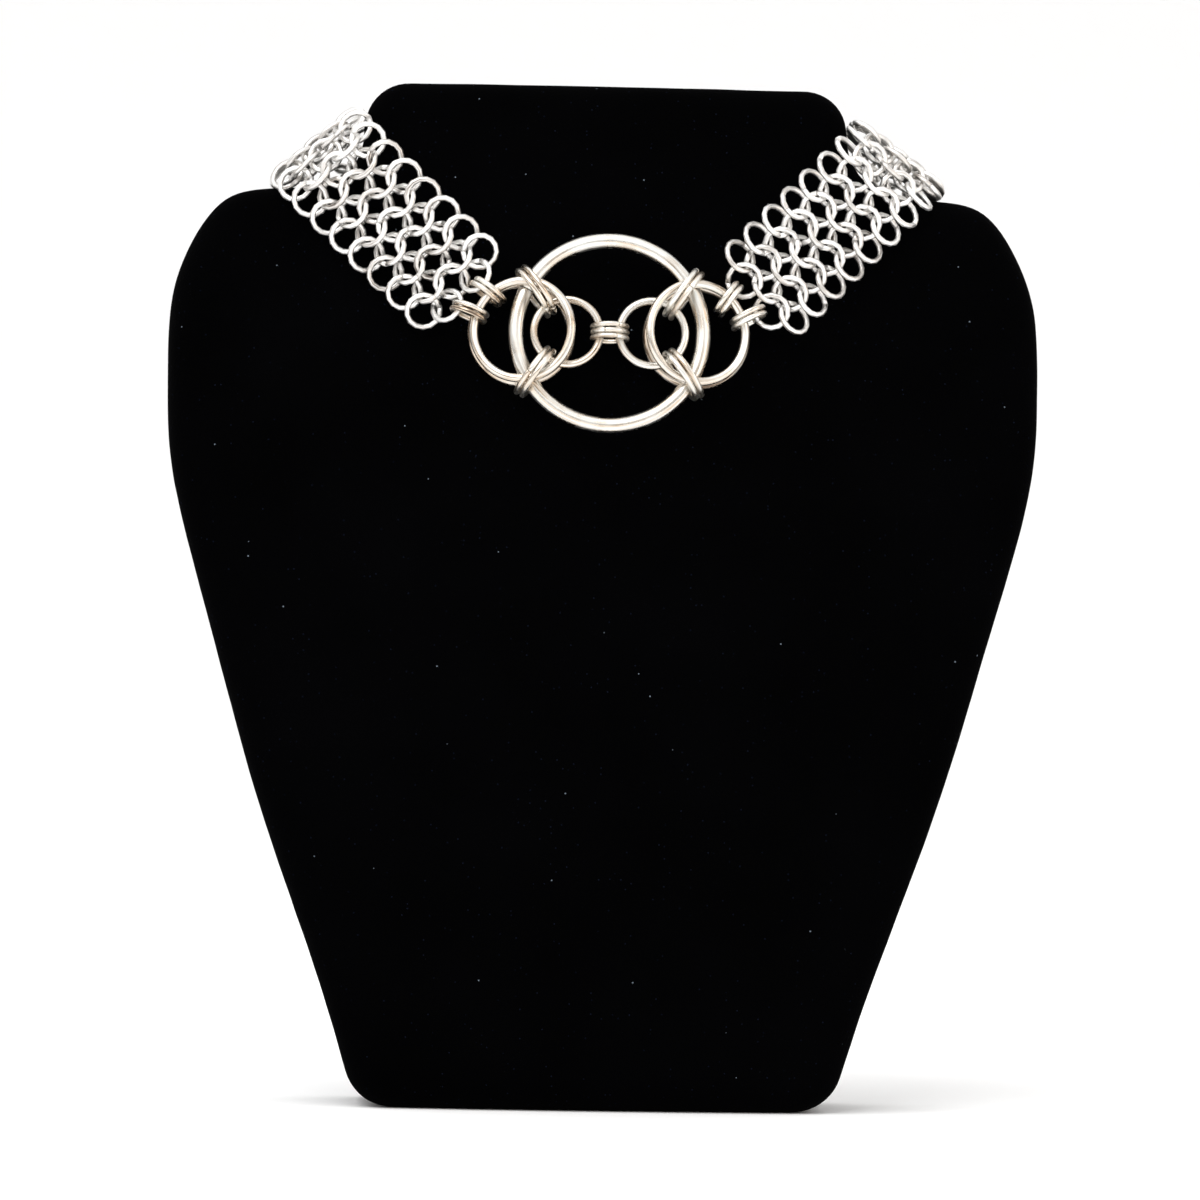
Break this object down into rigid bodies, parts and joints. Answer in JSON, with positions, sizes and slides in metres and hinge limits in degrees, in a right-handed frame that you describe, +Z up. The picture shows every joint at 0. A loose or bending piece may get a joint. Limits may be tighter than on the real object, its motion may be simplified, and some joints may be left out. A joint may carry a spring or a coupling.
{
  "type": "chainmail necklace on neck bust",
  "caption": "Chainmail necklace with a centrepiece of linked round rings, fastened round a flat-backed velvet display bust that stands on its flat base.",
  "frame": {"origin": "centre of the bust's flat base", "axes": "+Z up, the bust's front and the centrepiece face -Y, +X is the viewer's right"},
  "size_m": [0.1784, 0.0678, 0.2095],
  "materials": {
    "silver_wire": "polished",
    "black_velvet": "matte pile"
  },
  "bodies": {
    "root": {"binding_link_lower_left_1": "silver_wire", "binding_link_lower_left_2": "silver_wire", "binding_link_lower_right_1": "silver_wire", "binding_link_lower_right_2": "silver_wire", "binding_link_upper_left_1": "silver_wire", "binding_link_upper_left_2": "silver_wire", "binding_link_upper_right_1": "silver_wire", "binding_link_upper_right_2": "silver_wire", "centre_link_1": "silver_wire", "centre_link_2": "silver_wire", "centre_link_3": "silver_wire", "chain_left": "silver_wire", "chain_right": "silver_wire", "clasp_hook": "silver_wire", "display_bust": "black_velvet", "inner_ring_left": "silver_wire", "inner_ring_right": "silver_wire", "joining_link_lower_left_1": "silver_wire", "joining_link_lower_left_2": "silver_wire", "joining_link_lower_right_1": "silver_wire", "joining_link_lower_right_2": "silver_wire", "joining_link_upper_left_1": "silver_wire", "joining_link_upper_left_2": "silver_wire", "joining_link_upper_right_1": "silver_wire", "joining_link_upper_right_2": "silver_wire", "large_ring": "silver_wire", "mail_band_left": "silver_wire", "mail_band_right": "silver_wire", "medium_ring_left_back": "silver_wire", "medium_ring_left_front": "silver_wire", "medium_ring_right_back": "silver_wire", "medium_ring_right_front": "silver_wire"}
  },
  "joints": []
}
